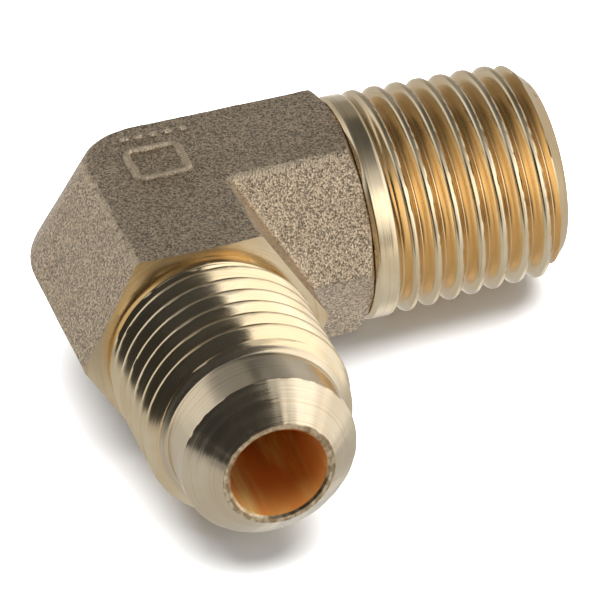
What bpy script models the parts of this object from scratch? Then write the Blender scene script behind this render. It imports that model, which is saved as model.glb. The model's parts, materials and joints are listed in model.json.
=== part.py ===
# Flare fitting: a forged brass 90 degree elbow, 5/16 in SAE 45 degree male flare to 1/4 in male NPT.
# One forging, machined at both ends.  Metres, +Z up.  The pipe leg runs along +X, the flare leg
# along -Y, and the origin is on the bottom wrench flat, under the crossing of the two ports.
import math

import bmesh
import bpy

MM = 0.001

# ---- driving dimensions, in millimetres; each leg is measured from the crossing of the ports ----
HEX_FLATS = 13.2           # across the flats of the forged hexagonal legs
EDGE_BLEND = 0.23          # setback of the softened forging edges along each face
HEEL_STEPS = 12            # facets round the heel
PIPE_LEG = 11.87           # to the end of the hexagon, pipe side
FLARE_LEG = 10.75          # to the end of the hexagon, flare side
NUT_BEVEL = 30.0           # degrees, bevel on the hexagon's corners at the pipe end
BEVEL_CLEARANCE = 0.6      # how far the bevelling ring stands clear of the hexagon

SIDES = 40                 # facets round the threaded ends
LATHE_SIDES = 36           # facets round the bores and the bevel
STUB_DEPTH = 2.2           # how far the turned ends reach into the forging
STUB_CLEARANCE = 0.6       # how far they stay under its flats there

PIPE_PITCH = 25.4 / 18.0   # 1/4-18 NPT
PIPE_CREST = 7.0           # crest radius where the thread starts
PIPE_TAPER = 1.0 / 32.0    # radius lost per millimetre of length
PIPE_DEPTH = 0.88          # of the blunt pipe thread
PIPE_RUN_OUT = 1.13        # length over which its groove fades into the collar
PIPE_COLLAR = 6.93         # radius of the plain collar
PIPE_COLLAR_EDGE = 0.3     # bevel on the collar's inner edge
PIPE_COLLAR_LENGTH = 1.08
PIPE_THREAD_LENGTH = 11.38
PIPE_END_BEVEL = 0.3       # plain part of the end chamfer, past the thread
PIPE_END_CHAMFER = 1.2     # height of the whole end chamfer
PIPE_PHASE = -0.60         # turns, sets where the first crest lies
# share of a pitch and share of the depth: crest start, crest end, root start, root end
PIPE_ROWS = [(0.0, 0.0), (0.26, 0.0), (0.575, 1.0), (0.685, 1.0)]

FLARE_PITCH = 25.4 / 20.0  # 1/2-20 UNF
FLARE_CREST = 6.33         # crest radius
FLARE_DEPTH = 0.78         # thread depth
FLARE_NECK = 5.62          # radius of the relief beside the hexagon
FLARE_NECK_LENGTH = 0.55
FLARE_RUN_IN = 0.6         # length over which the crest rises out of the neck
FLARE_THREAD_LENGTH = 8.8  # with its front chamfer
FLARE_NOSE = 5.25          # radius of the plain nose
FLARE_STEP_HEIGHT = 0.43   # short step between the chamfer and the nose
FLARE_STEP_LENGTH = 0.27
FLARE_NOSE_LENGTH = 2.61   # up to the 45 degree seat
FLARE_LIP_WIDTH = 0.3      # of the small face at the mouth
FLARE_PHASE = -0.336       # turns
FLARE_ROWS = [(0.0, 0.0), (0.125, 0.0), (0.44, 1.0), (0.685, 1.0)]

FLARE_BORE = 2.9           # radius
FLARE_MOUTH = 0.12         # bevel at the mouth of the flare bore
PIPE_BORE = 3.5            # radius
DRILL_OVERRUN = 1.5        # past the crossing, before the drill's point
DRILL_POINT = 0.6          # height of the drill's point over its radius, 118 degrees
DRILL_CLEARANCE = 1.0      # how far each drill starts outside its mouth

MARK_SIZE = 3.6            # width of the raised square outline on the top flat
MARK_LINE = 0.42           # width of its line
MARK_CORNER = 0.7          # corner radius
MARK_HEIGHT = 0.16         # above the flat
MARK_SINK = 0.3            # how far the raised shapes reach into the forging
MARK_CENTRE = (0.45, -0.55)
DASHES = 5                 # small bars in the row beside it
DASH_SIZE = (0.56, 0.35)
DASH_PITCH = 0.9
DASH_START = (-0.75, 2.42)

# ---- sizes that follow from them ----
HALF = HEX_FLATS / 2.0
FLAT_HALF_WIDTH = HALF / math.sqrt(3.0)
CORNER_RADIUS = 2.0 * FLAT_HALF_WIDTH
STUB_RADIUS = HALF - STUB_CLEARANCE
PIPE_THREAD_START = PIPE_LEG + PIPE_COLLAR_LENGTH
PIPE_THREAD_END = PIPE_THREAD_START + PIPE_THREAD_LENGTH
PIPE_END = PIPE_THREAD_END + PIPE_END_BEVEL
PIPE_END_RADIUS = PIPE_CREST - (PIPE_END - PIPE_THREAD_START) * PIPE_TAPER - PIPE_END_CHAMFER
FLARE_THREAD_START = FLARE_LEG + FLARE_NECK_LENGTH
FLARE_THREAD_END = FLARE_THREAD_START + FLARE_THREAD_LENGTH
FLARE_STEP_END = FLARE_THREAD_END + FLARE_STEP_LENGTH
FLARE_NOSE_END = FLARE_STEP_END + FLARE_NOSE_LENGTH
FLARE_LIP = FLARE_BORE + FLARE_MOUTH + FLARE_LIP_WIDTH
FLARE_END = FLARE_NOSE_END + FLARE_NOSE - FLARE_LIP


def new_collection(name):
    collection = bpy.data.collections.get(name) or bpy.data.collections.new(name)
    if collection.name not in bpy.context.scene.collection.children:
        bpy.context.scene.collection.children.link(collection)
    return collection


def new_object(name, verts, faces, collection):
    """A mesh object from points in millimetres and faces as index lists."""
    mesh = bpy.data.meshes.new(name)
    mesh.from_pydata([(x * MM, y * MM, z * MM) for x, y, z in verts], [], faces)
    mesh.update()
    obj = bpy.data.objects.new(name, mesh)
    collection.objects.link(obj)
    return obj


def as_operand(obj):
    """Marks a solid that only adds to or cuts the forging."""
    obj.hide_render = True
    obj.display_type = 'WIRE'
    return obj


def hexagon_levels():
    """Heights and half widths up the hexagonal section, corners softened."""
    b = EDGE_BLEND
    rise = b * math.sin(math.radians(60.0))
    run = b * math.cos(math.radians(60.0))
    upper = [
        (0.0, CORNER_RADIUS - 0.55 * run),
        (rise, CORNER_RADIUS - run),
        (HALF - rise, FLAT_HALF_WIDTH + run),
        (HALF - 0.25 * rise, FLAT_HALF_WIDTH - 0.2 * b),
        (HALF, FLAT_HALF_WIDTH - b),
    ]
    lower = [(-z, w) for z, w in reversed(upper[1:])]
    return lower + upper


def plan_outline(width):
    """The elbow's outline in plan for one half width: two legs, a round heel, a mitred throat."""
    points = [(width, -width), (PIPE_LEG, -width), (PIPE_LEG, width)]
    for k in range(HEEL_STEPS + 1):
        a = math.radians(90.0 + 90.0 * k / HEEL_STEPS)
        points.append((width * math.cos(a), width * math.sin(a)))
    points += [(-width, -FLARE_LEG), (width, -FLARE_LEG)]
    return points


def forged_elbow(name, collection):
    """The hexagonal elbow as a loft through its outlines, from the bottom flat to the top one."""
    verts = []
    faces = []
    levels = hexagon_levels()
    count = len(plan_outline(1.0))
    for z, width in levels:
        verts += [(x, y, z + HALF) for x, y in plan_outline(width)]
    for level in range(len(levels) - 1):
        for k in range(count):
            a = level * count + k
            b = level * count + (k + 1) % count
            faces.append((a, b, b + count, a + count))
    top = (len(levels) - 1) * count
    faces.append(tuple(reversed(range(count))))
    faces.append(tuple(range(top, top + count)))
    return new_object(name, verts, faces, collection)


def turned(name, before, thread, after, collection):
    """A solid turned about +X with a right-hand thread between its plain rings.

    before and after are rings (position, radius).  The thread's rows climb one pitch per turn and
    stop at its start and its end, where they meet plain rings.
    """
    start, end, pitch, phase, rows, radius_at = thread
    verts = []
    rings = []

    def add(s, r, i):
        a = 2.0 * math.pi * i / SIDES
        verts.append((s, r * math.cos(a), r * math.sin(a)))
        return len(verts) - 1

    for s, r in before:
        rings.append([add(s, r, i) for i in range(SIDES)])
    first = [add(start, radius_at(start, 0.0), i) for i in range(SIDES)]
    last = [add(end, radius_at(end, 0.0), i) for i in range(SIDES)]
    own = {}
    near = 0.05 * pitch

    def vertex(i, j):
        if i == SIDES:
            i = 0
            j = j + len(rows)
        turn, row = divmod(j, len(rows))
        share, depth = rows[row]
        s = start + pitch * (turn + share + phase + i / SIDES)
        if s <= start + near:
            return first[i]
        if s >= end - near:
            return last[i]
        if (i, j) not in own:
            own[(i, j)] = add(s, radius_at(s, depth), i)
        return own[(i, j)]

    faces = []
    turns = int((end - start) / pitch) + 3
    for i in range(SIDES):
        for j in range(-3 * len(rows), turns * len(rows)):
            loop = [vertex(i, j), vertex(i, j + 1), vertex(i + 1, j + 1), vertex(i + 1, j)]
            corners = []
            for v in loop:
                if v not in corners:
                    corners.append(v)
            if len(corners) > 2:
                faces.append(tuple(corners))

    tail = [[add(s, r, i) for i in range(SIDES)] for s, r in after]
    for chain in (rings + [first], [last] + tail):
        for low, high in zip(chain, chain[1:]):
            for i in range(SIDES):
                n = (i + 1) % SIDES
                faces.append((low[i], high[i], high[n], low[n]))
    faces.append(tuple((rings or [first])[0]))
    faces.append(tuple(reversed((tail or [last])[-1])))
    faces = [tuple(reversed(face)) for face in faces]
    return new_object(name, verts, faces, collection)


def smooth_step(x):
    x = min(max(x, 0.0), 1.0)
    return x * x * (3.0 - 2.0 * x)


def pipe_radius(s, depth):
    """Tapered pipe thread: runs out into the collar, chamfered at the end."""
    along = s - PIPE_THREAD_START
    fade = smooth_step(along / PIPE_RUN_OUT)
    crest = PIPE_COLLAR + (PIPE_CREST - PIPE_COLLAR) * fade - along * PIPE_TAPER
    chamfer = PIPE_END_RADIUS + (PIPE_END - s)
    return min(crest - depth * PIPE_DEPTH * fade, chamfer)


def flare_radius(s, depth):
    """Straight thread: rises out of the neck, chamfered at the nose."""
    rise = smooth_step((s - FLARE_THREAD_START) / FLARE_RUN_IN)
    crest = FLARE_NECK + (FLARE_CREST - FLARE_NECK) * rise
    chamfer = FLARE_NOSE + FLARE_STEP_HEIGHT + (FLARE_THREAD_END - s)
    root = min(FLARE_CREST - depth * FLARE_DEPTH, crest)
    return min(root, chamfer)


def lathe(name, profile, collection):
    """A closed solid turned about +X by a Screw modifier, applied, from (position, radius) points."""
    mesh = bpy.data.meshes.new(name)
    points = [(r * MM, 0.0, s * MM) for s, r in profile]
    edges = [(k, k + 1) for k in range(len(points) - 1)]
    if profile[0][1] > 0.0:
        edges.append((len(points) - 1, 0))
    mesh.from_pydata(points, edges, [])
    obj = bpy.data.objects.new(name, mesh)
    collection.objects.link(obj)
    screw = obj.modifiers.new("turn", 'SCREW')
    screw.axis = 'Z'
    screw.steps = LATHE_SIDES
    screw.render_steps = LATHE_SIDES
    screw.use_merge_vertices = True
    screw.merge_threshold = 0.00001
    screw.use_normal_calculate = False
    solid = bpy.data.meshes.new_from_object(obj.evaluated_get(bpy.context.evaluated_depsgraph_get()))
    bm = bmesh.new()
    bm.from_mesh(solid)
    bmesh.ops.remove_doubles(bm, verts=bm.verts, dist=0.00001)
    bmesh.ops.recalc_face_normals(bm, faces=bm.faces)
    # the turning axis is laid from +Z to +X
    for v in bm.verts:
        x, y, z = v.co
        v.co = (z, y, -x)
    bm.to_mesh(solid)
    bm.free()
    solid.name = name
    bpy.data.objects.remove(obj)
    obj = bpy.data.objects.new(name, solid)
    collection.objects.link(obj)
    return obj


def outline_solid(name, loops, height, collection):
    """A flat outline in millimetres, extruded from inside the top flat to a height above it."""
    data = bpy.data.curves.new(name, 'CURVE')
    data.dimensions = '2D'
    data.fill_mode = 'BOTH'
    data.extrude = (height + MARK_SINK) / 2.0 * MM
    for loop in loops:
        spline = data.splines.new('POLY')
        spline.points.add(len(loop) - 1)
        for point, (x, y) in zip(spline.points, loop):
            point.co = (x * MM, y * MM, 0.0, 1.0)
        spline.use_cyclic_u = True
    curve = bpy.data.objects.new(name + "_curve", data)
    collection.objects.link(curve)
    curve.location = (0.0, 0.0, (HEX_FLATS + (height - MARK_SINK) / 2.0) * MM)
    bpy.context.view_layer.update()
    depsgraph = bpy.context.evaluated_depsgraph_get()
    mesh = bpy.data.meshes.new_from_object(curve.evaluated_get(depsgraph))
    bm = bmesh.new()
    bm.from_mesh(mesh)
    bmesh.ops.remove_doubles(bm, verts=bm.verts, dist=0.000001)
    bmesh.ops.recalc_face_normals(bm, faces=bm.faces)
    bm.to_mesh(mesh)
    bm.free()
    obj = bpy.data.objects.new(name, mesh)
    obj.matrix_world = curve.matrix_world.copy()
    collection.objects.link(obj)
    bpy.data.objects.remove(curve)
    return obj


def rounded_square(centre, half, corner, steps=4):
    """Points round a square with round corners."""
    points = []
    for quarter in range(4):
        a0 = 90.0 * quarter
        ox = (half - corner) * (1 if quarter in (0, 3) else -1)
        oy = (half - corner) * (1 if quarter in (0, 1) else -1)
        for k in range(steps + 1):
            a = math.radians(a0 + 90.0 * k / steps)
            x = ox + corner * math.cos(a)
            y = oy + corner * math.sin(a)
            points.append((centre[0] + x, centre[1] + y))
    return points


def corner_bevel(collection):
    """The ring that bevels the hexagon's corners at the pipe end."""
    slope = math.tan(math.radians(NUT_BEVEL))
    inner = HALF - BEVEL_CLEARANCE
    outer = CORNER_RADIUS + BEVEL_CLEARANCE
    front = PIPE_LEG + BEVEL_CLEARANCE
    return lathe("corner_bevel", [
        (PIPE_LEG - (outer - HALF) * slope, outer),
        (front, outer),
        (front, inner),
        (PIPE_LEG - (inner - HALF) * slope, inner),
    ], collection)


def drill(name, mouth, radius, bevel, collection):
    """A drilled port from its mouth to a little past the crossing, with a bevel at the mouth."""
    past = mouth + DRILL_CLEARANCE
    profile = [(past, 0.0)]
    if bevel > 0.0:
        profile.append((past, radius + bevel + DRILL_CLEARANCE))
        profile.append((mouth - bevel, radius))
    else:
        profile.append((past, radius))
    profile.append((-DRILL_OVERRUN, radius))
    profile.append((-DRILL_OVERRUN - DRILL_POINT * radius, 0.0))
    return lathe(name, profile, collection)


def raised_shapes(collection):
    """A plain square outline and a row of dashes on the top flat."""
    shapes = [outline_solid("mark", [
        rounded_square(MARK_CENTRE, MARK_SIZE / 2.0, MARK_CORNER),
        rounded_square(MARK_CENTRE, MARK_SIZE / 2.0 - MARK_LINE, MARK_CORNER - MARK_LINE / 2.0),
    ], MARK_HEIGHT, collection)]
    for k in range(DASHES):
        x = DASH_START[0] + k * DASH_PITCH
        y = DASH_START[1]
        w = DASH_SIZE[0] / 2.0
        h = DASH_SIZE[1] / 2.0
        bar = [(x - w, y - h), (x + w, y - h), (x + w, y + h), (x - w, y + h)]
        shapes.append(outline_solid("dash_%d" % (k + 1), [bar], MARK_HEIGHT, collection))
    return shapes


def boolean(obj, other, operation):
    modifier = obj.modifiers.new(other.name, 'BOOLEAN')
    modifier.operation = operation
    modifier.solver = 'EXACT'
    modifier.object = other


def brass(name):
    material = bpy.data.materials.new(name)
    material.use_nodes = True
    shader = material.node_tree.nodes["Principled BSDF"]
    shader.inputs["Base Color"].default_value = (0.62, 0.46, 0.24, 1.0)
    shader.inputs["Metallic"].default_value = 1.0
    shader.inputs["Roughness"].default_value = 0.36
    return material


def build():
    for obj in list(bpy.data.objects):
        bpy.data.objects.remove(obj, do_unlink=True)
    parts = new_collection("flare fitting")
    tools = new_collection("flare fitting operands")

    elbow = forged_elbow("flare_elbow", parts)
    elbow.data.materials.append(brass("brass"))

    flare_turn = (0.0, 0.0, math.radians(-90.0))
    turned_solids = [
        corner_bevel(tools),
        turned("pipe_end",
               [(PIPE_LEG - STUB_DEPTH, STUB_RADIUS), (PIPE_LEG - PIPE_COLLAR_EDGE, STUB_RADIUS),
                (PIPE_LEG, PIPE_COLLAR - PIPE_COLLAR_EDGE),
                (PIPE_LEG + PIPE_COLLAR_EDGE / 2.0, PIPE_COLLAR)],
               (PIPE_THREAD_START, PIPE_THREAD_END, PIPE_PITCH, PIPE_PHASE, PIPE_ROWS, pipe_radius),
               [(PIPE_END, PIPE_END_RADIUS)], tools),
        turned("flare_end",
               [(FLARE_LEG - STUB_DEPTH, STUB_RADIUS), (FLARE_LEG - STUB_CLEARANCE, STUB_RADIUS),
                (FLARE_LEG - STUB_CLEARANCE / 2.0, FLARE_NECK)],
               (FLARE_THREAD_START, FLARE_THREAD_END, FLARE_PITCH, FLARE_PHASE, FLARE_ROWS,
                flare_radius),
               [(FLARE_STEP_END, FLARE_NOSE), (FLARE_NOSE_END, FLARE_NOSE), (FLARE_END, FLARE_LIP)],
               tools),
        drill("flare_bore", FLARE_END, FLARE_BORE, FLARE_MOUTH, tools),
        drill("pipe_bore", PIPE_END, PIPE_BORE, 0.0, tools),
    ]
    bevel, pipe_end, flare_end, flare_bore, pipe_bore = turned_solids
    for obj in turned_solids:
        obj.location = (0.0, 0.0, HALF * MM)
    flare_end.rotation_euler = flare_turn
    flare_bore.rotation_euler = flare_turn

    boolean(elbow, bevel, 'DIFFERENCE')
    boolean(elbow, pipe_end, 'UNION')
    boolean(elbow, flare_end, 'UNION')
    for obj in raised_shapes(tools):
        boolean(elbow, obj, 'UNION')
    boolean(elbow, flare_bore, 'DIFFERENCE')
    boolean(elbow, pipe_bore, 'DIFFERENCE')
    for obj in tools.objects:
        as_operand(obj)
    elbow.data.set_sharp_from_angle(angle=math.radians(30.0))


build()
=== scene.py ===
# Looks of the flare fitting: one forged brass elbow with a machined flare end and pipe end.
# The forging, its two turned ends and their drilled bores are built here as fine meshes that stand
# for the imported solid.  Sizes below are in millimetres from the crossing of the two ports, as in the CAD;
# the pipe leg runs along +X and the flare leg along -Y.
import json
import math

import bmesh
import bpy
from mathutils import Matrix, Vector, noise


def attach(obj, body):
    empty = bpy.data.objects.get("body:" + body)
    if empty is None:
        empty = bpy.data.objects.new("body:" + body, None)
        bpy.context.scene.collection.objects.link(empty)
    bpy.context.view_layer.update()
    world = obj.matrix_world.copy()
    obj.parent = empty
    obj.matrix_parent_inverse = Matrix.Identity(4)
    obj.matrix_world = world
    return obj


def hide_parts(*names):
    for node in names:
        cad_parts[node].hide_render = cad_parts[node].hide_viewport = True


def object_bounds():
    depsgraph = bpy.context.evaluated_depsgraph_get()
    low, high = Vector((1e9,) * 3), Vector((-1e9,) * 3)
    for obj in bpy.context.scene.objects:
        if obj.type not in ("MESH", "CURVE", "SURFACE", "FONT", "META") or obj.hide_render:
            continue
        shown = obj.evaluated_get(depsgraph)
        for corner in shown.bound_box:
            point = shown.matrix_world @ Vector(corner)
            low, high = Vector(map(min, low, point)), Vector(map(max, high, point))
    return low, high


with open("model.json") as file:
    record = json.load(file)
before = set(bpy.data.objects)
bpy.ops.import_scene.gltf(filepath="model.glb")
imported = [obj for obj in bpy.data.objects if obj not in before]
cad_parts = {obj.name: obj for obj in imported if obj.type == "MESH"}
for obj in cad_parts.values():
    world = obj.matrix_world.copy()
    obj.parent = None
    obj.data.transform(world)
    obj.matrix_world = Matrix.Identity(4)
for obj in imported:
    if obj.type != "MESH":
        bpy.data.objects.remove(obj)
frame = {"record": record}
cad_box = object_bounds()

MM = 0.001
WELD_DISTANCE = 0.0005     # points closer than this are one point
SLIVER_LENGTH = 0.0002
MOUNTS = {m["name"]: Vector(m["pos_m"]) / MM for m in frame["record"]["mounts"]}

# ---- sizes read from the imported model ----
HEX_FLATS = MOUNTS["top_flat"].z
PIPE_END = MOUNTS["pipe_end_face"].x
FLARE_END = -MOUNTS["flare_lip_face"].y
HALF = HEX_FLATS / 2.0
FLAT_HALF_WIDTH = HALF / math.sqrt(3.0)
CORNER_RADIUS = 2.0 * FLAT_HALF_WIDTH

# ---- the forging ----
PIPE_LEG = 11.87           # to the end of the hexagon, pipe side
FLARE_LEG = 10.75          # to the machined shoulder at the hexagon's corners, flare side
SHOULDER_TILT = 9.0        # degrees, the shoulder's shallow cone towards the neck
NUT_BEVEL = 30.0           # degrees, on the hexagon's corners at the pipe end
NUT_BEVEL_START = 8.0      # the mesh is drawn back from here to follow that bevel
SHOULDER_START = 8.5       # and drawn out from here to follow the shoulder
CORNER_ROUND = 0.65        # radius along the mid-plane corner
FLAT_ROUND = 0.45          # radius along the flats' edges
PARTING_LIP = 0.035        # height of the ridge left by the dies
PARTING_WIDTH = 0.1        # half its width
THROAT_ROUND = 0.5         # fillet between the two legs
END_SOFTNESS = 0.1         # broken edge round the end faces
END_CORNER = 0.29          # share of that edge cut away at its middle
UNEVENNESS = 0.045         # depth of the forged faces' slow waves
UNEVEN_LENGTH = 3.4        # their length
CHIP_DEPTH = 0.06          # small unevenness along the rounded edges
CHIP_LENGTH = 0.45
CHIPS_BEGIN = (0.56, 0.1)  # vertical part of the normal where the chips start, and over how much
CHIPS_END = (0.94, 0.05)
UNDERSIDE_NORMAL = -0.9    # faces that look further down than this stay even
FORGED_SHARP_ANGLE = 40.0  # degrees
LEG_STEPS = 100
END_STEPS = 26
HEEL_STEPS = 48
THROAT_STEPS = 5
FLANK_ROWS = 14
CORNER_ROWS = 7
FLAT_EDGE_ROWS = 6
TOP_ROWS = 52
BOTTOM_ROWS = 14

# ---- the raised shapes on the top flat ----
MARK_SIZE = 3.6
MARK_LINE = 0.42
MARK_CORNER = 0.7
MARK_CENTRE = (0.45, -0.55)
MARK_HEIGHT = 0.155
MARK_EDGE = 0.2            # width of its soft edge
DASHES = 5
DASH_SIZE = (0.56, 0.35)
DASH_PITCH = 0.9
DASH_START = (-0.75, 2.42)

# ---- the turned ends ----
SIDES = 192                # facets round
THREAD_ROWS = 20           # rows along one pitch
BORE_ROWS = 8
PIPE_BORE = 3.5
FLARE_BORE = 2.9
DRILL_OVERRUN = 1.5        # past the crossing, before the drill's point
DRILL_POINT = 0.6          # height of the drill's point over its radius
DRILL_CLEARANCE = 1.0
FACE_OVERLAP = 0.02        # how far a turned end starts inside the forging's end face
TURNED_SHARP_ANGLE = 32.0  # degrees
MERGE_ROWS = 0.4           # thread rows this close to a plain ring, in rows, become part of it
CORNER_SAMPLES = 9         # in the mean that rounds a thread's corners
MOUTH_EDGE = 0.02          # broken edge round the pipe end's bore
BORE_STEP = 0.05           # from the mouth to the first ring down a bore
TEAR_ROUND = 16.0          # how fast the tearing changes round the thread
TEAR_ALONG = 3.0           # and along it
TEAR_GAIN = 1.6
TEAR_BIAS = 0.1            # the higher, the more of the edge is torn
BURR_ROUND = 7.0           # how fast a burr changes round its edge
BURR_SHIFT = Vector((0.0, 0.0, 5.0))     # where in the noise its second wander is read

# ---- material slots ----
SKIN_SLOT = 0              # of the forging
SHOULDER_SLOT = 1
PIPE_DRILL_SLOT = 2
FLARE_DRILL_SLOT = 3
METAL_SLOT = 0             # of a turned end
BORE_SLOT = 1
SEAT_SLOT = 2
LIP_SLOT = 3

PIPE_PITCH = 25.4 / 18.0
PIPE_COLLAR = 6.93
PIPE_COLLAR_LENGTH = 1.08
COLLAR_FOOT = 0.22         # how far under its radius the collar starts
COLLAR_RINGS = [(0.17, 0.03), (0.23, 0.0), (0.27, 0.0)]   # (along, how far under its radius)
PIPE_CREST = 6.995
PIPE_TAPER = 1.0 / 32.0
PIPE_DEPTH = 0.88
PIPE_RUN_OUT = 1.13
PIPE_END_BEVEL = 0.3
PIPE_END_CHAMFER = 1.2
PIPE_RIM_OUT = 0.04        # the broken edge between the chamfer and the end face
PIPE_RIM_IN = 0.03
PIPE_MOUTH = 0.25
PIPE_PHASE = -0.60
PIPE_PROFILE = [(0.0, 0.0), (0.26, 0.0), (0.575, 1.0), (0.685, 1.0), (1.0, 0.0)]
PIPE_ROUNDING = 0.13       # share of a pitch that its crests and roots are rounded over
PIPE_TEAR = (0.24, 0.36, 0.07)   # torn edge: first share, last share, depth
PIPE_THREAD_START = PIPE_LEG + PIPE_COLLAR_LENGTH
PIPE_CREST_LINE = (PIPE_CREST + PIPE_THREAD_START * PIPE_TAPER, PIPE_TAPER)
PIPE_THREAD_END = PIPE_END - PIPE_END_BEVEL
PIPE_END_RADIUS = PIPE_CREST - (PIPE_END - PIPE_THREAD_START) * PIPE_TAPER - PIPE_END_CHAMFER

FLARE_PITCH = 25.4 / 20.0
FLARE_NECK = 5.62
FLARE_NECK_LENGTH = 0.55
FLARE_FILLET = 0.45        # between the shoulder and the neck
FILLET_STEPS = 7
FLARE_CREST = 6.33
FLARE_DEPTH = 0.78
FLARE_RUN_IN = 0.6
FLARE_NOSE = 5.25
FLARE_STEP_HEIGHT = 0.43
FLARE_STEP_LENGTH = 0.27
FLARE_NOSE_LENGTH = 2.61
FLARE_LIP_WIDTH = 0.3
FLARE_MOUTH = 0.12
FLARE_PHASE = -0.336
FLARE_PROFILE = [(0.0, 0.0), (0.11, 0.0), (0.58, 1.0), (0.70, 1.0), (1.0, 0.0)]
FLARE_ROUNDING = 0.08
FLARE_TEAR = (0.08, 0.16, 0.02)
FLARE_LIP = FLARE_BORE + FLARE_MOUTH + FLARE_LIP_WIDTH
FLARE_NOSE_END = FLARE_END - (FLARE_NOSE - FLARE_LIP)
FLARE_STEP_END = FLARE_NOSE_END - FLARE_NOSE_LENGTH
FLARE_THREAD_END = FLARE_STEP_END - FLARE_STEP_LENGTH
FLARE_THREAD_START = FLARE_LEG + FLARE_NECK_LENGTH
FLARE_CREST_LINE = (FLARE_CREST - 0.3, 0.0)   # below the real crests, so only the roots get the painted shade
FLARE_SHOULDER = FLARE_NOSE + FLARE_STEP_HEIGHT
FLARE_MOUTH_RADIUS = FLARE_BORE + FLARE_MOUTH
# The nose from the thread to the bore: (position, radius, burr, slot).  The small offsets round
# each edge off, and a burr is how far the edge wanders.
FLARE_NOSE_RINGS = [
    (FLARE_THREAD_END + 0.06, FLARE_SHOULDER - 0.12, 0.0, SEAT_SLOT),
    (FLARE_STEP_END - 0.12, FLARE_NOSE + 0.1, 0.0, SEAT_SLOT),
    (FLARE_STEP_END - 0.03, FLARE_NOSE + 0.02, 0.0, SEAT_SLOT),
    (FLARE_STEP_END + 0.05, FLARE_NOSE, 0.0, SEAT_SLOT),
    (FLARE_NOSE_END - 0.06, FLARE_NOSE, 0.012, SEAT_SLOT),
    (FLARE_NOSE_END + 0.01, FLARE_NOSE - 0.012, 0.03, SEAT_SLOT),
    (FLARE_NOSE_END + 0.07, FLARE_NOSE - 0.075, 0.012, SEAT_SLOT),
    (FLARE_END - 0.05, FLARE_LIP + 0.05, 0.02, SEAT_SLOT),
    (FLARE_END, FLARE_LIP, 0.05, LIP_SLOT),
    (FLARE_END - 0.02, FLARE_LIP - 0.07, 0.02, LIP_SLOT),
    (FLARE_END, FLARE_MOUTH_RADIUS + 0.03, 0.0, LIP_SLOT),
    (FLARE_END - 0.02, FLARE_MOUTH_RADIUS, 0.0, LIP_SLOT),
    (FLARE_END - FLARE_MOUTH, FLARE_BORE, 0.0, LIP_SLOT),
]

# ---- colours, depths and scales of the materials ----
FORGED_METAL = (0.92, 0.735, 0.52)
FORGED_METAL_PALE = (1.0, 0.80, 0.57)
# dark colour in the grain's hollows: painted shade, mixed with random tone
FORGED_PIT_SHADE = (0.28, 0.215, 0.15)
# lighter colour on raised marks and rounded edges: partly wear, partly painted highlight
WEAR_AND_HIGHLIGHT_BRASS = (0.95, 0.79, 0.57)
GRAIN_DEPTH = 0.07
GRAIN_SCALE = 9500.0
CELL_SCALE = 9000.0
CLOUD_SCALE = 420.0
WEAR_SCALE = 1500.0
WEAR_AND_HIGHLIGHT_BEGIN = (0.56, 0.68)  # vertical part of the normal where the lighter edges fade in: partly wear, partly painted highlight
WEAR_AND_HIGHLIGHT_END = (0.84, 0.97)    # and out
CLEAN_BRASS = (0.92, 0.775, 0.54)
STAINED_BRASS = (0.86, 0.69, 0.44)
TURNING_LINE_SHADE = (0.60, 0.40, 0.20)     # painted shade along the turning lines
GROOVE_PAINTED_SHADE = (0.88, 0.66, 0.38)     # painted warm shade, down in the threads
GROOVE_SHADE_DEPTHS = (0.55, 0.1)            # below the crest: full painted shade, none
SHOULDER_BRASS = [(0.88, 0.72, 0.48), (0.80, 0.62, 0.38)]    # clean, stained
SEAT_BRASS = [(0.84, 0.715, 0.52), (0.77, 0.64, 0.45)]
LIP_BRASS = [(0.78, 0.63, 0.42), (0.42, 0.30, 0.17)]
STAIN_SCALE = 260.0
LIP_STAIN_SCALE = 2400.0
FEED_SLOPE = -0.8          # share of the radius in the distance run along a turned surface
TURNING_SCALE = 9000.0
WANDER = (90.0, 90.0, 0.0) # how fast the turning lines change round the part
ANISOTROPY = 0.55
# brass deepened to orange, painted for light bounced round the bore; the pale streaks are painted
# highlights
BORE_BOUNCE_ORANGE = (0.78, 0.33, 0.08)
BORE_HIGHLIGHT_STREAK = (1.0, 0.80, 0.31)
BORE_METALLIC = 0.6        # not all metal, which gives the bores their orange glow
BORE_BUMP = 0.01
BORE_STREAKS = {"X": (60.0, 480.0, 480.0), "Y": (480.0, 60.0, 480.0)}

# ---- camera ----
CAMERA_AZIMUTH = 16.0      # degrees, the view direction's turn from +Y towards +X
CAMERA_ELEVATION = 33.97
CAMERA_ROLL = -3.37
CAMERA_DISTANCE = 329.2
CAMERA_LENS = 326.96
CAMERA_SENSOR = 36.0
CAMERA_AIM = (7.71, -4.29, -2.97)

# ---- floor and overhead light, in metres and watts ----
FLOOR_REACH = 2.5
FLOOR_GAP = 0.00005        # under the part
OVERHEAD_AZIMUTH = 40.0
OVERHEAD_ELEVATION = 78.0
OVERHEAD_DISTANCE = 0.9
OVERHEAD_SIZE = 1.4
OVERHEAD_POWER = 38.0
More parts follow.
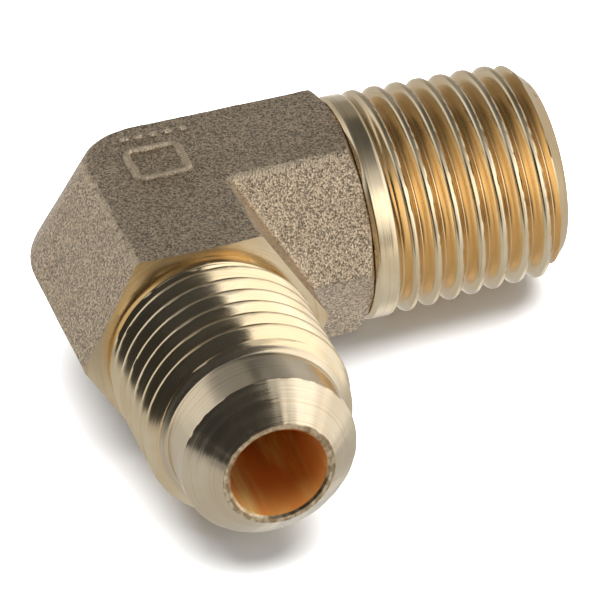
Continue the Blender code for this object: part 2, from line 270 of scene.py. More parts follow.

# ---- studio: patches of light and shade round the part, each laid over the last ----
# Brass mirrors what stands round it.  These are set by direction, so that the turned
# faces' reflections come near the real ones.  They are fixed in the world.
# A patch is its brightness and the cones that bound it: azimuth from +Y towards +X, elevation,
# half angle and soft edge, in degrees.  It fills what all of its cones share.
STUDIO_BASE = 0.53
STUDIO = [
    (0.76, [(-72.0, 20.0, 24.0, 14.0)]),                 # left wall
    (0.26, [(2.0, 40.0, 26.0, 12.0)]),                   # dark behind and above
    (1.10, [(12.0, -28.0, 10.0, 11.0)]),                 # bright table behind
    (0.90, [(48.0, -62.0, 8.0, 10.0)]),                  # bright spot below, behind right
    (0.62, [(160.0, -38.0, 22.0, 12.0)]),                # table in front
    (0.035, [(-144.0, 16.0, 34.0, 6.0)]),                # black card, front left
    (0.98, [(84.0, 0.0, 88.0, 4.0), (175.0, 0.0, 84.0, 16.0),
            (0.0, -90.0, 118.0, 40.0), (0.0, 90.0, 106.0, 14.0)]),   # soft box, front right
    (1.40, [(128.0, 17.0, 17.0, 14.0)]),                 # its hot middle
    (1.60, [(163.0, 27.0, 10.0, 9.0)]),                  # second hot spot, in front
    (0.38, [(168.0, -8.0, 5.0, 6.0)]),                   # dim strip under it
    (0.08, [(-176.0, -17.0, 10.0, 6.0)]),                # dark spot, low in front
    (0.18, [(-20.0, 84.0, 26.0, 12.0)]),                 # dark overhead
    (0.09, [(42.0, 64.0, 18.0, 9.0)]),                   # dark spot, high behind right
]
# A black card stands close in front, seen only in reflections: its corners, from the crossing.
CARD = [(20.5, -46.5, 0.0), (8.0, -46.5, 50.0), (2.0, -46.5, 75.0), (-25.0, -46.5, 75.0),
        (-25.0, -46.5, 0.0)]


def smooth_step(x):
    """Rises smoothly from 0 at 0 to 1 at 1."""
    x = min(max(x, 0.0), 1.0)
    return x * x * (3.0 - 2.0 * x)


def piece(name, mesh, materials, rotation=0.0):
    """A finished piece of the fitting, turned about the vertical and placed at the crossing."""
    obj = bpy.data.objects.new(name, mesh)
    bpy.context.scene.collection.objects.link(obj)
    obj.location = (0.0, 0.0, HALF * MM)
    obj.rotation_euler = (0.0, 0.0, math.radians(rotation))
    for material in materials:
        mesh.materials.append(material)
    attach(obj, "root")
    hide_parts("flare_elbow")
    return obj


def closed_mesh(name, verts, faces, slots=None):
    """A mesh from points in millimetres, with doubled points welded and smooth shading."""
    mesh = bpy.data.meshes.new(name)
    mesh.from_pydata([(x * MM, y * MM, z * MM) for x, y, z in verts], [], faces)
    if slots:
        mesh.polygons.foreach_set("material_index", slots)
    bm = bmesh.new()
    bm.from_mesh(mesh)
    bmesh.ops.remove_doubles(bm, verts=bm.verts, dist=WELD_DISTANCE * MM)
    bmesh.ops.dissolve_degenerate(bm, edges=bm.edges, dist=SLIVER_LENGTH * MM)
    bmesh.ops.recalc_face_normals(bm, faces=bm.faces)
    bm.to_mesh(mesh)
    bm.free()
    mesh.shade_smooth()
    return mesh


# ---------------------------------------------------------------- materials

def add(tree, kind, inputs=None, **settings):
    """Adds a shader node.  An input is a value, or another node's output to link."""
    made = tree.nodes.new("ShaderNode" + kind)
    for name, value in settings.items():
        setattr(made, name, value)
    for key, value in (inputs or {}).items():
        if isinstance(value, bpy.types.NodeSocket):
            tree.links.new(value, made.inputs[key])
        else:
            made.inputs[key].default_value = value
    return made


def new_material(name):
    """A new material, its node tree and its shader."""
    material = bpy.data.materials.new(name)
    material.use_nodes = True
    return material, material.node_tree, material.node_tree.nodes["Principled BSDF"]


def matt_grey(name, shade, roughness):
    """A plain matt grey for what is staged."""
    material, _, shader = new_material(name)
    shader.inputs["Base Color"].default_value = (shade, shade, shade, 1.0)
    shader.inputs["Roughness"].default_value = roughness
    shader.inputs["Specular IOR Level"].default_value = 0.0
    return material


def spread(tree, value, low, high, to_low, to_high):
    """Maps a value from one range to another, smoothly and clamped."""
    return add(tree, "MapRange", {"Value": value, "From Min": low, "From Max": high,
                                  "To Min": to_low, "To Max": to_high},
               interpolation_type='SMOOTHSTEP').outputs["Result"]


def mix_colours(tree, factor, first, second):
    """Blends two colours, each a value or another node's output."""
    made = add(tree, "Mix", {0: factor}, data_type='RGBA')
    for index, colour in ((6, first), (7, second)):
        if isinstance(colour, bpy.types.NodeSocket):
            tree.links.new(colour, made.inputs[index])
        else:
            made.inputs[index].default_value = (*colour, 1.0)
    return made.outputs[2]


def forged_brass():
    """Forged skin: fine grain with painted shade in its hollows, and lighter raised marks and edges, partly
    wear and partly painted highlight.
    """
    material, tree, shader = new_material("forged_brass")
    place = add(tree, "TexCoord").outputs["Object"]
    grain = add(tree, "TexNoise", {"Vector": place, "Scale": GRAIN_SCALE, "Detail": 3.0,
                                   "Roughness": 0.65}).outputs["Fac"]
    cells = add(tree, "TexVoronoi", {"Vector": place, "Scale": CELL_SCALE}, feature='F1')
    shade = add(tree, "SeparateXYZ", {0: cells.outputs["Color"]}).outputs["X"]
    dimples = cells.outputs["Distance"]
    clouds = add(tree, "TexNoise", {"Vector": place, "Scale": CLOUD_SCALE,
                                    "Detail": 3.0}).outputs["Fac"]
    height = add(tree, "Math", {0: dimples, 1: 0.4, 2: grain}, operation='MULTIPLY_ADD').outputs[0]
    bump = add(tree, "Bump", {"Strength": 1.0, "Distance": GRAIN_DEPTH * MM, "Height": height})
    # the dark colour follows the low grain, as the bump's hollows do: painted shade there
    speckle = add(tree, "Math", {0: shade, 1: 0.25, 2: grain}, operation='MULTIPLY_ADD').outputs[0]
    metal = mix_colours(tree, spread(tree, clouds, 0.35, 0.65, 0.0, 1.0),
                        FORGED_METAL, FORGED_METAL_PALE)
    skin = mix_colours(tree, spread(tree, speckle, 0.45, 0.80, 0.0, 1.0), FORGED_PIT_SHADE, metal)
    # raised marks are lighter: partly wear, partly painted highlight
    up = add(tree, "SeparateXYZ", {0: place}).outputs["Z"]
    raised_wear_and_highlight = spread(tree, up, (HALF + 0.2 * MARK_HEIGHT) * MM, (HALF + 0.7 * MARK_HEIGHT) * MM,
                    0.0, 0.65)
    # the rounded edges along the flats are lighter too, here and there: partly wear, partly painted
    # highlight
    lean = add(tree, "SeparateXYZ", {0: add(tree, "TexCoord").outputs["Normal"]}).outputs["Z"]
    rising = spread(tree, lean, *WEAR_AND_HIGHLIGHT_BEGIN, 0.0, 0.6)
    falling = spread(tree, lean, *WEAR_AND_HIGHLIGHT_END, 1.0, 0.0)
    edge = add(tree, "Math", {0: rising, 1: falling}, operation='MULTIPLY').outputs[0]
    patches = add(tree, "TexNoise", {"Vector": place, "Scale": WEAR_SCALE,
                                     "Detail": 3.0}).outputs["Fac"]
    edge_wear_and_highlight = add(tree, "Math", {0: edge, 1: spread(tree, patches, 0.38, 0.58, 0.0, 1.0)},
               operation='MULTIPLY').outputs[0]
    wear_and_highlight_share = add(tree, "Math", {0: raised_wear_and_highlight, 1: edge_wear_and_highlight}, operation='MAXIMUM').outputs[0]
    colour = mix_colours(tree, wear_and_highlight_share, skin, WEAR_AND_HIGHLIGHT_BRASS)
    tree.links.new(colour, shader.inputs["Base Color"])
    tree.links.new(spread(tree, grain, 0.3, 0.7, 0.44, 0.28), shader.inputs["Roughness"])
    tree.links.new(bump.outputs["Normal"], shader.inputs["Normal"])
    shader.inputs["Metallic"].default_value = 1.0
    return material


def turned_brass(name, axis, cut, roughness, clean=CLEAN_BRASS, stained=STAINED_BRASS,
                 stain_scale=STAIN_SCALE, thread=None):
    """Machined brass with turning lines round the named axis, and painted shade along them.

    cut is the depth of the turning lines in millimetres.  A thread, as (crest radius, taper), gets
    painted warm shade down in its grooves.
    """
    material, tree, shader = new_material(name)
    place = add(tree, "TexCoord").outputs["Object"]
    split = add(tree, "SeparateXYZ", {0: place})
    along = split.outputs[axis]
    across = [split.outputs[k] for k in "XYZ" if k != axis]
    flat = add(tree, "CombineXYZ", {0: across[0], 1: across[1]}).outputs[0]
    radius = add(tree, "VectorMath", {0: flat}, operation='LENGTH').outputs["Value"]
    # runs along the turned surface on cylinders, cones and faces alike
    feed = add(tree, "Math", {0: radius, 1: FEED_SLOPE, 2: along},
               operation='MULTIPLY_ADD').outputs[0]
    lines = add(tree, "Math", {0: feed, 1: TURNING_SCALE}, operation='MULTIPLY').outputs[0]
    wander = add(tree, "VectorMath", {0: flat, 1: WANDER}, operation='MULTIPLY').outputs["Vector"]
    lanes = add(tree, "SeparateXYZ", {0: wander})
    tool = add(tree, "CombineXYZ", {0: lines, 1: lanes.outputs["X"], 2: lanes.outputs["Y"]})
    rings = add(tree, "TexNoise", {"Vector": tool.outputs[0], "Scale": 1.0, "Detail": 2.0,
                                   "Roughness": 0.6}).outputs["Fac"]
    bands = add(tree, "TexNoise", {"Vector": tool.outputs[0], "Scale": 0.16, "Detail": 2.0})
    stains = add(tree, "TexNoise", {"Vector": place, "Scale": stain_scale,
                                    "Detail": 4.0}).outputs["Fac"]
    bump = add(tree, "Bump", {"Strength": 1.0, "Distance": cut * MM, "Height": rings})
    tinted = mix_colours(tree, spread(tree, stains, 0.38, 0.62, 0.0, 1.0), clean, stained)
    # painted shade along the turning lines
    colour = mix_colours(tree, spread(tree, rings, 0.54, 0.72, 0.0, 0.4), tinted, TURNING_LINE_SHADE)
    # painted warm shade down in the thread's grooves
    if thread:
        crest, taper = thread
        out = add(tree, "Math", {0: along, 1: taper, 2: radius},
                  operation='MULTIPLY_ADD').outputs[0]
        deep = spread(tree, out, (crest - GROOVE_SHADE_DEPTHS[0]) * MM, (crest - GROOVE_SHADE_DEPTHS[1]) * MM,
                      1.0, 0.0)
        colour = mix_colours(tree, deep, colour, GROOVE_PAINTED_SHADE)
    tree.links.new(colour, shader.inputs["Base Color"])
    tree.links.new(spread(tree, bands.outputs["Fac"], 0.3, 0.7, roughness * 0.8, roughness * 1.3),
                   shader.inputs["Roughness"])
    tree.links.new(bump.outputs["Normal"], shader.inputs["Normal"])
    shader.inputs["Metallic"].default_value = 1.0
    shader.inputs["Anisotropic"].default_value = ANISOTROPY
    spindle = [1.0 if k == axis else 0.0 for k in "XYZ"]
    round_it = add(tree, "VectorMath", {0: spindle, 1: place}, operation='CROSS_PRODUCT')
    tangent = add(tree, "VectorTransform", {0: round_it.outputs["Vector"]}, vector_type='VECTOR',
                  convert_from='OBJECT', convert_to='WORLD')
    tree.links.new(tangent.outputs[0], shader.inputs["Tangent"])
    return material


def drilled_brass(name, axis):
    """Inside of a drilled port: brass deepened to orange, painted for light bounced round the bore, with
    painted highlight streaks along the hole.
    """
    material, tree, shader = new_material(name)
    place = add(tree, "TexCoord").outputs["Object"]
    run = add(tree, "VectorMath", {0: place, 1: BORE_STREAKS[axis]},
              operation='MULTIPLY').outputs["Vector"]
    streaks = add(tree, "TexNoise", {"Vector": run, "Scale": 1.0, "Detail": 4.0}).outputs["Fac"]
    bump = add(tree, "Bump", {"Strength": 0.7, "Distance": BORE_BUMP * MM, "Height": streaks})
    # painted highlight streaks along the hole over a painted bounce orange
    colour = mix_colours(tree, spread(tree, streaks, 0.40, 0.60, 0.0, 1.0), BORE_BOUNCE_ORANGE, BORE_HIGHLIGHT_STREAK)
    tree.links.new(colour, shader.inputs["Base Color"])
    tree.links.new(spread(tree, streaks, 0.3, 0.7, 0.5, 0.36), shader.inputs["Roughness"])
    tree.links.new(bump.outputs["Normal"], shader.inputs["Normal"])
    shader.inputs["Metallic"].default_value = BORE_METALLIC
    return material


# ---------------------------------------------------------------- the forging

def hexagon_levels():
    """(height, half width, inset of the leg ends), from the bottom flat's middle to the top's."""
    tilt = math.radians(30.0)
    corner = CORNER_RADIUS - CORNER_ROUND / math.cos(tilt)
    edge_width = FLAT_HALF_WIDTH - FLAT_ROUND * math.tan(tilt)
    side = []
    for k in range(CORNER_ROWS + 1):
        a = tilt * k / CORNER_ROWS
        z = CORNER_ROUND * math.sin(a)
        lip = PARTING_LIP * (1.0 - smooth_step(z / PARTING_WIDTH - 0.5))
        side.append((z, corner + CORNER_ROUND * math.cos(a) + lip, 0.0))
    edge = []
    for k in range(FLAT_EDGE_ROWS + 1):
        a = tilt + math.radians(60.0) * k / FLAT_EDGE_ROWS
        edge.append((HALF - FLAT_ROUND + FLAT_ROUND * math.sin(a),
                     edge_width + FLAT_ROUND * math.cos(a), 0.0))
    low = side[-1]
    high = edge[0]
    for k in range(1, FLANK_ROWS):
        t = k / FLANK_ROWS
        side.append((low[0] + (high[0] - low[0]) * t, low[1] + (high[1] - low[1]) * t, 0.0))
    side += edge

    def cap(rows):
        widths = [edge_width * (1.0 - k / rows) for k in range(1, rows + 1)]
        return [(HALF, width, edge_width - width) for width in widths]

    lower = [(-z, width, inset) for z, width, inset in reversed(side[1:] + cap(BOTTOM_ROWS))]
    return lower + side + cap(TOP_ROWS)


def plan_outline(width, inset):
    """Points round the elbow in plan at one half width, and which of them lie on the shoulder."""
    pipe = PIPE_LEG - inset
    flare = FLARE_LEG - inset
    fillet = THROAT_ROUND * min(1.0, width / FLAT_HALF_WIDTH)
    soft = min(END_SOFTNESS, width / 2.0)
    inner = width + fillet

    def leg(start, end):
        return [start + (end - start) * k / LEG_STEPS for k in range(LEG_STEPS + 1)]

    def end_row():
        return [(2.0 * k / END_STEPS - 1.0) * (width - soft) for k in range(END_STEPS + 1)]

    points = [(x, -width) for x in leg(inner, pipe - soft)]
    points.append((pipe - END_CORNER * soft, -width + END_CORNER * soft))
    points += [(pipe, y) for y in end_row()]
    points.append((pipe - END_CORNER * soft, width - END_CORNER * soft))
    points += [(x, width) for x in leg(pipe - soft, 0.0)]
    for k in range(1, HEEL_STEPS):
        a = math.radians(90.0 + 90.0 * k / HEEL_STEPS)
        points.append((width * math.cos(a), width * math.sin(a)))
    points += [(-width, y) for y in leg(0.0, -flare)]
    first = len(points) - 1
    points += [(x, -flare) for x in end_row()]
    points.append((width, -flare))
    shoulder = range(first, len(points) - 1)
    points += [(width, y) for y in leg(-flare, -inner)[1:]]
    for k in range(1, THROAT_STEPS):
        a = math.radians(180.0 - 90.0 * k / THROAT_STEPS)
        points.append((inner + fillet * math.cos(a), -inner + fillet * math.sin(a)))
    return points, shoulder


def nut_bevel(x, y, z):
    """Draws the pipe end of the hexagon back to the bevel on its corners."""
    back = max(0.0, math.hypot(y, z) - HALF) * math.tan(math.radians(NUT_BEVEL))
    share = min(max((x - NUT_BEVEL_START) / (PIPE_LEG - NUT_BEVEL_START), 0.0), 1.0)
    return x - back * share


def shoulder_rise(x, z):
    """How far the machined shoulder stands out from its corners: a shallow cone up to the neck."""
    radius = max(math.hypot(x, z), FLARE_NECK + FLARE_FILLET)
    return (CORNER_RADIUS - radius) * math.tan(math.radians(SHOULDER_TILT))


def shoulder_cone(x, y, z):
    """Draws the flare end of the hexagon out to its coned shoulder."""
    share = min(max((-y - SHOULDER_START) / (FLARE_LEG - SHOULDER_START), 0.0), 1.0)
    return y - max(0.0, shoulder_rise(x, z)) * share


def square_distance(x, y, half, corner):
    """Distance inside a square with round corners, negative outside."""
    px = abs(x) - (half - corner)
    py = abs(y) - (half - corner)
    outside = math.hypot(max(px, 0.0), max(py, 0.0))
    return corner - outside - min(max(px, py), 0.0)


def mark_relief(x, y):
    """Height of the raised shapes over the top flat: a square outline and a row of dashes."""
    half = MARK_SIZE / 2.0
    ring = square_distance(x - MARK_CENTRE[0], y - MARK_CENTRE[1], half, MARK_CORNER)
    inside = min(ring, MARK_LINE - ring)
    for k in range(DASHES):
        px = DASH_SIZE[0] / 2.0 - abs(x - DASH_START[0] - k * DASH_PITCH)
        py = DASH_SIZE[1] / 2.0 - abs(y - DASH_START[1])
        inside = max(inside, min(px, py))
    return MARK_HEIGHT * smooth_step(inside / MARK_EDGE + 0.5)


def forged_body_mesh(name):
    """The hexagonal elbow as a loft through its outlines, closed over both flats."""
    levels = hexagon_levels()
    verts = []
    faces = []
    slots = []
    outline, shoulder = plan_outline(1.0, 0.0)
    count = len(outline)
    for z, width, inset in levels:
        for x, y in plan_outline(width, inset)[0]:
            top = mark_relief(x, y) if z == HALF else 0.0
            verts.append((nut_bevel(x, y, z), shoulder_cone(x, y, z), z + top))
    for level in range(len(levels) - 1):
        flat = levels[level][2] > 0.0 or levels[level + 1][2] > 0.0
        for k in range(count):
            a = level * count + k
            b = level * count + (k + 1) % count
            faces.append((a, b, b + count, a + count))
            slots.append(SHOULDER_SLOT if k in shoulder and not flat else SKIN_SLOT)
    return closed_mesh(name, verts, faces, slots)


def edge_share(normal):
    """1 on the rounded edges along the flats, 0 on the flats and the flanks."""
    lean = abs(normal.z)
    begun = smooth_step((lean - CHIPS_BEGIN[0]) / CHIPS_BEGIN[1])
    ended = smooth_step((lean - CHIPS_END[0]) / CHIPS_END[1])
    return begun * (1.0 - ended)


def roughen(mesh):
    """Slow unevenness, only ever inwards.  The machined face and the underside stay even."""
    bm = bmesh.new()
    bm.from_mesh(mesh)
    bm.normal_update()
    for v in bm.verts:
        machined = any(face.material_index == SHOULDER_SLOT for face in v.link_faces)
        under = v.normal.z < UNDERSIDE_NORMAL
        if not (machined or under):
            wave = 0.5 + 0.5 * noise.noise(v.co / (UNEVEN_LENGTH * MM))
            chips = 0.5 + 0.5 * noise.noise(v.co / (CHIP_LENGTH * MM))
            edge = edge_share(v.normal)
            v.co -= v.normal * (MM * (UNEVENNESS * wave + CHIP_DEPTH * chips * edge))
    bm.to_mesh(mesh)
    bm.free()


def drill(name, mouth, radius, rotation, slot):
    """A cutter for one port, from outside its mouth to the drill's point past the crossing."""
    profile = [(mouth + DRILL_CLEARANCE, radius), (-DRILL_OVERRUN, radius)]
    verts = []
    for s, r in profile:
        for i in range(SIDES):
            a = 2.0 * math.pi * i / SIDES
            verts.append((s, r * math.cos(a), r * math.sin(a)))
    tip = len(verts)
    verts.append((-DRILL_OVERRUN - DRILL_POINT * radius, 0.0, 0.0))
    faces = [tuple(range(SIDES))]
    for i in range(SIDES):
        n = (i + 1) % SIDES
        faces.append((i, i + SIDES, n + SIDES, n))
        faces.append((i + SIDES, tip, n + SIDES))
    mesh = closed_mesh(name, verts, faces, [slot] * len(faces))
    obj = bpy.data.objects.new(name, mesh)
    bpy.context.scene.collection.objects.link(obj)
    obj.location = (0.0, 0.0, HALF * MM)
    obj.rotation_euler = (0.0, 0.0, math.radians(rotation))
    return obj


def cut_bores(body, cutters):
    """Drills the ports out of the forging and keeps the result as its mesh."""
    for cutter in cutters:
        modifier = body.modifiers.new(cutter.name, 'BOOLEAN')
        modifier.operation = 'DIFFERENCE'
        modifier.solver = 'EXACT'
        modifier.object = cutter
    depsgraph = bpy.context.evaluated_depsgraph_get()
    drilled = bpy.data.meshes.new_from_object(body.evaluated_get(depsgraph))
    body.modifiers.clear()
    body.data = drilled
    for cutter in cutters:
        bpy.data.objects.remove(cutter)
    drilled.set_sharp_from_angle(angle=math.radians(FORGED_SHARP_ANGLE))


def make_forging(skin, face, bores):
    """The forged elbow with both ports drilled."""
    mesh = forged_body_mesh("forged_body")
    roughen(mesh)
    body = piece("forged_body", mesh, [skin, face] + bores)
    cutters = [drill("pipe_drill", PIPE_LEG, PIPE_BORE, 0.0, PIPE_DRILL_SLOT),
               drill("flare_drill", FLARE_LEG, FLARE_BORE, -90.0, FLARE_DRILL_SLOT)]
    for cutter in cutters:
        for material in [skin, face] + bores:
            cutter.data.materials.append(material)
    cut_bores(body, cutters)
    return body


# ---------------------------------------------------------------- the turned ends

def thread_depth(profile, share):
    """Depth of the thread's outline at a share of its pitch, as part of the full depth."""
    share = share % 1.0
    for (s0, d0), (s1, d1) in zip(profile, profile[1:]):
        if share <= s1:
            return d0 + (d1 - d0) * (share - s0) / (s1 - s0)
    return profile[-1][1]


def rounded_depth(profile, share, rounding):
    """The same outline with its corners rounded, as a mean over a short window."""
    total = 0.0
    for k in range(CORNER_SAMPLES):
        total += thread_depth(profile, share + rounding * (k / (CORNER_SAMPLES - 1) - 0.5))
    return total / CORNER_SAMPLES


def torn(s, angle, share, tear):
    """Depth torn out of the crest's edge here.  tear is (first share, last share, depth)."""
    low, high, most = tear
    if not low <= share <= high:
        return 0.0
    at = Vector((TEAR_ROUND * math.cos(angle), TEAR_ROUND * math.sin(angle), TEAR_ALONG * s))
    return most * smooth_step(TEAR_GAIN * noise.noise(at) + TEAR_BIAS)


def turned_mesh(name, thread, tear, before, after):
    """A turned tube about +X: rings, a right-hand thread, then rings back down the bore.

    before holds rings (position, radius), and after holds rings (position, radius, burr, slot).
    The thread's rows climb one pitch per turn and stop at its start and its end, where they meet
    plain rings.
    """
    start, end, pitch, phase, profile, rounding, radius_at = thread
    shares = [k / THREAD_ROWS for k in range(THREAD_ROWS)]
    depths = [rounded_depth(profile, share, rounding) for share in shares]
    verts = []
    slots = []
    faces = []

    def add_point(s, r, i, burr=0.0):
        a = 2.0 * math.pi * i / SIDES
        if burr:
            at = Vector((BURR_ROUND * math.cos(a), BURR_ROUND * math.sin(a), s))
            r += burr * noise.noise(at)
            s -= burr * abs(noise.noise(at + BURR_SHIFT))
        verts.append((s, r * math.cos(a), r * math.sin(a)))
        return len(verts) - 1

    def ring(s, r, burr=0.0):
        return [add_point(s, r, i, burr) for i in range(SIDES)]

    head = [ring(*values) for values in before]
    first = ring(start, radius_at(start, 0.0))
    last = ring(end, radius_at(end, 0.0))
    own = {}
    near = MERGE_ROWS * pitch / THREAD_ROWS

    def vertex(i, j):
        if i == SIDES:
            i = 0
            j = j + THREAD_ROWS
        turn, row = divmod(j, THREAD_ROWS)
        s = start + pitch * (turn + shares[row] + phase + i / SIDES)
        if s <= start + near:
            return first[i]
        if s >= end - near:
            return last[i]
        if (i, j) not in own:
            loss = torn(s, 2.0 * math.pi * i / SIDES, shares[row], tear)
            loss *= smooth_step((s - start) / pitch)
            own[(i, j)] = add_point(s, radius_at(s, depths[row]) - loss, i)
        return own[(i, j)]

    turns = int((end - start) / pitch) + 3
    for i in range(SIDES):
        for j in range(-2 * THREAD_ROWS, turns * THREAD_ROWS):
            corners = []
            for v in (vertex(i, j), vertex(i, j + 1), vertex(i + 1, j + 1), vertex(i + 1, j)):
                if v not in corners:
                    corners.append(v)
            if len(corners) > 2:
                faces.append(tuple(corners))
                slots.append(METAL_SLOT)
    tail = [ring(*row[:3]) for row in after]
    tail_slots = [row[3] for row in after]
    chains = [(head + [first], [METAL_SLOT] * len(head)), ([last] + tail, tail_slots),
              ([tail[-1], head[0]], [BORE_SLOT])]
    for chain, chain_slots in chains:
        for low, high, slot in zip(chain, chain[1:], chain_slots):
            for i in range(SIDES):
                n = (i + 1) % SIDES
                faces.append((low[i], high[i], high[n], low[n]))
                slots.append(slot)
    mesh = closed_mesh(name, verts, faces, slots)
    mesh.set_sharp_from_angle(angle=math.radians(TURNED_SHARP_ANGLE))
    return mesh


def bore_rings(mouth, floor, radius):
    """Plain rings down a bore from its mouth, up to the last one before the floor."""
    return [(mouth + (floor - mouth) * k / BORE_ROWS, radius, 0.0, BORE_SLOT)
            for k in range(BORE_ROWS)]


def pipe_radius(s, depth):
    """Tapered pipe thread: runs out into the collar, chamfered at the end."""
    along = s - PIPE_THREAD_START
    fade = smooth_step(along / PIPE_RUN_OUT)
    crest = PIPE_COLLAR + (PIPE_CREST - PIPE_COLLAR) * fade - along * PIPE_TAPER
    chamfer = PIPE_END_RADIUS + (PIPE_END - s)
    return min(crest - depth * PIPE_DEPTH * fade, chamfer)


def flare_radius(s, depth):
    """Straight thread: rises out of the neck, chamfered at the nose."""
    rise = smooth_step((s - FLARE_THREAD_START) / FLARE_RUN_IN)
    crest = FLARE_NECK + (FLARE_CREST - FLARE_NECK) * rise
    chamfer = FLARE_SHOULDER + (FLARE_THREAD_END - s)
    root = min(FLARE_CREST - depth * FLARE_DEPTH, crest)
    return min(root, chamfer)


def make_pipe_end(metal, bore):
    """Collar, tapered pipe thread, end chamfer, end face and the outer part of the bore."""
    floor = PIPE_LEG - FACE_OVERLAP
    thread = (PIPE_THREAD_START, PIPE_THREAD_END, PIPE_PITCH, PIPE_PHASE, PIPE_PROFILE,
              PIPE_ROUNDING, pipe_radius)
    before = [(floor, PIPE_BORE), (floor, PIPE_COLLAR - COLLAR_FOOT)]
    before += [(PIPE_LEG + along, PIPE_COLLAR - under) for along, under in COLLAR_RINGS]
    after = [(PIPE_END - PIPE_RIM_OUT, PIPE_END_RADIUS + PIPE_RIM_OUT, 0.0, METAL_SLOT),
             (PIPE_END, PIPE_END_RADIUS - PIPE_RIM_IN, 0.0, METAL_SLOT),
             (PIPE_END, PIPE_BORE + PIPE_MOUTH + MOUTH_EDGE, 0.0, METAL_SLOT),
             (PIPE_END - PIPE_MOUTH, PIPE_BORE, 0.0, METAL_SLOT)]
    after += bore_rings(PIPE_END - PIPE_MOUTH - BORE_STEP, floor, PIPE_BORE)
    mesh = turned_mesh("pipe_end", thread, PIPE_TEAR, before, after)
    return piece("pipe_end", mesh, [metal, bore])


def make_flare_end(metal, bore, seat, face):
    """Neck, straight thread, nose, 45 degree seat, lip and the outer part of the bore."""
    rise = shoulder_rise(0.0, 0.0)
    floor = FLARE_LEG + rise - FACE_OVERLAP
    thread = (FLARE_THREAD_START, FLARE_THREAD_END, FLARE_PITCH, FLARE_PHASE, FLARE_PROFILE,
              FLARE_ROUNDING, flare_radius)
    before = [(floor, FLARE_BORE), (floor, FLARE_NECK + FLARE_FILLET)]
    for k in range(FILLET_STEPS + 1):
        a = math.radians(90.0 * k / FILLET_STEPS)
        before.append((FLARE_LEG + rise + (FLARE_FILLET - rise) * (1.0 - math.cos(a)),
                       FLARE_NECK + FLARE_FILLET * (1.0 - math.sin(a))))
    bore_start = FLARE_END - FLARE_MOUTH - BORE_STEP
    after = FLARE_NOSE_RINGS + bore_rings(bore_start, floor, FLARE_BORE)
    mesh = turned_mesh("flare_end", thread, FLARE_TEAR, before, after)
    return piece("flare_end", mesh, [metal, bore, seat, face], rotation=-90.0)


# ---------------------------------------------------------------- floor, light and camera

def direction(azimuth, elevation):
    """Unit vector; azimuth from +Y towards +X, in degrees."""
    a = math.radians(azimuth)
    e = math.radians(elevation)
    return Vector((math.sin(a) * math.cos(e), math.cos(a) * math.cos(e), math.sin(e)))


def make_floor():
    """The pale floor.  Reflections don't see it: the studio's patches stand for it there."""
    mesh = bpy.data.meshes.new("floor")
    height = cad_box[0].z - FLOOR_GAP
    corners = [(x * FLOOR_REACH, y * FLOOR_REACH, height)
               for x, y in ((-1.0, -1.0), (1.0, -1.0), (1.0, 1.0), (-1.0, 1.0))]
    mesh.from_pydata(corners, [], [(0, 1, 2, 3)])
    floor = bpy.data.objects.new("floor", mesh)
    bpy.context.scene.collection.objects.link(floor)
    mesh.materials.append(matt_grey("pale_floor", 0.86, 0.9))
    floor.visible_glossy = False


def make_card():
    """The black card: it darkens reflections near the flare end, and nothing else sees it."""
    mesh = bpy.data.meshes.new("card")
    corners = [(x * MM, y * MM, (z + HALF) * MM) for x, y, z in CARD]
    mesh.from_pydata(corners, [], [tuple(range(len(corners)))])
    card = bpy.data.objects.new("card", mesh)
    bpy.context.scene.collection.objects.link(card)
    mesh.materials.append(matt_grey("black_card", 0.02, 1.0))
    card.visible_camera = False
    card.visible_diffuse = False
    card.visible_shadow = False


def make_studio():
    """World light: patches of light and shade by direction, each blended over the last."""
    world = bpy.data.worlds.new("studio")
    bpy.context.scene.world = world
    world.use_nodes = True
    tree = world.node_tree
    sky = add(tree, "TexCoord").outputs["Generated"]
    value = STUDIO_BASE
    for brightness, cones in STUDIO:
        patch = 1.0
        for azimuth, elevation, half, soft in cones:
            facing = add(tree, "VectorMath", {0: sky, 1: direction(azimuth, elevation)},
                         operation='DOT_PRODUCT').outputs["Value"]
            inside = spread(tree, facing, math.cos(math.radians(half + soft)),
                            math.cos(math.radians(half)), 0.0, 1.0)
            patch = add(tree, "Math", {0: patch, 1: inside}, operation='MULTIPLY').outputs[0]
        value = add(tree, "Mix", {0: patch, 2: value, 3: brightness}).outputs[0]
    tree.links.new(value, tree.nodes["Background"].inputs["Strength"])
    tree.nodes["Background"].inputs["Color"].default_value = (1.0, 1.0, 1.0, 1.0)


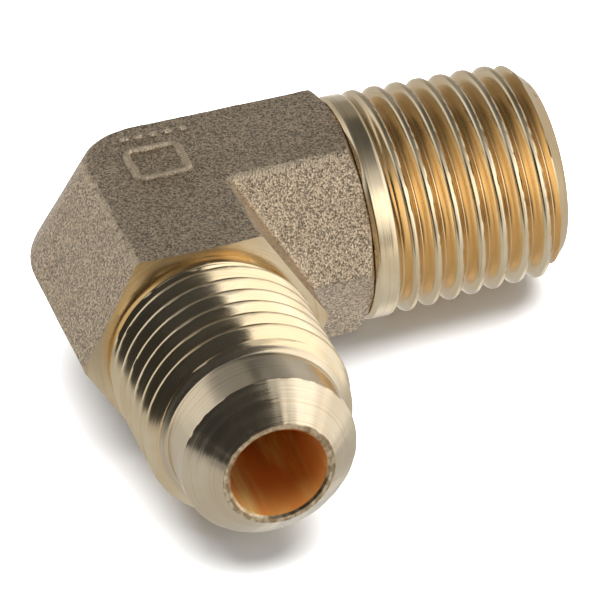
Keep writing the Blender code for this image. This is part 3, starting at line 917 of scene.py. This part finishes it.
def make_overhead_light():
    """A soft area light for the floor and its shadow.

    Reflections don't see it, so of the part it lights only the bores, which aren't all metal.
    """
    data = bpy.data.lights.new("overhead", 'AREA')
    data.shape = 'DISK'
    data.size = OVERHEAD_SIZE
    data.energy = OVERHEAD_POWER
    light = bpy.data.objects.new("overhead", data)
    bpy.context.scene.collection.objects.link(light)
    away = direction(OVERHEAD_AZIMUTH, OVERHEAD_ELEVATION)
    light.location = away * OVERHEAD_DISTANCE
    light.rotation_mode = 'QUATERNION'
    light.rotation_quaternion = away.to_track_quat('Z', 'Y')
    light.visible_glossy = False


def make_camera():
    """The camera at the photograph's viewing angle."""
    forward = -direction(CAMERA_AZIMUTH + 180.0, CAMERA_ELEVATION)
    right = forward.cross(Vector((0.0, 0.0, 1.0))).normalized()
    up = right.cross(forward)
    roll = math.radians(CAMERA_ROLL)
    tilted_right = right * math.cos(roll) + up * math.sin(roll)
    tilted_up = up * math.cos(roll) - right * math.sin(roll)
    turn = Matrix((tilted_right, tilted_up, -forward)).transposed()
    aim = Vector(CAMERA_AIM) + Vector((0.0, 0.0, HALF))
    data = bpy.data.cameras.new("camera")
    data.lens = CAMERA_LENS
    data.sensor_width = CAMERA_SENSOR
    data.clip_start = 0.01
    data.clip_end = 20.0
    camera = bpy.data.objects.new("camera", data)
    bpy.context.scene.collection.objects.link(camera)
    camera.matrix_world = Matrix.LocRotScale((aim - forward * CAMERA_DISTANCE) * MM,
                                             turn.to_quaternion(), Vector((1.0, 1.0, 1.0)))
    bpy.context.scene.camera = camera


def build():
    """The whole scene.  The flare end is made along X and turned, so its materials run along X."""
    make_camera()
    make_floor()
    make_studio()
    make_card()
    make_overhead_light()
    skin = forged_brass()
    shoulder = turned_brass("shoulder_brass", "Y", 0.006, 0.24, *SHOULDER_BRASS)
    pipe_metal = turned_brass("pipe_brass", "X", 0.008, 0.22, thread=PIPE_CREST_LINE)
    flare_metal = turned_brass("flare_brass", "X", 0.004, 0.14, thread=FLARE_CREST_LINE)
    seat_metal = turned_brass("seat_brass", "X", 0.006, 0.19, *SEAT_BRASS)
    lip_metal = turned_brass("lip_brass", "X", 0.012, 0.32, *LIP_BRASS, LIP_STAIN_SCALE)
    pipe_bore = drilled_brass("pipe_bore_brass", "X")
    flare_bore = drilled_brass("flare_bore_brass", "Y")
    make_forging(skin, shoulder, [pipe_bore, flare_bore])
    make_pipe_end(pipe_metal, pipe_bore)
    make_flare_end(flare_metal, pipe_bore, seat_metal, lip_metal)
    bpy.context.scene.view_settings.view_transform = 'Standard'


build()
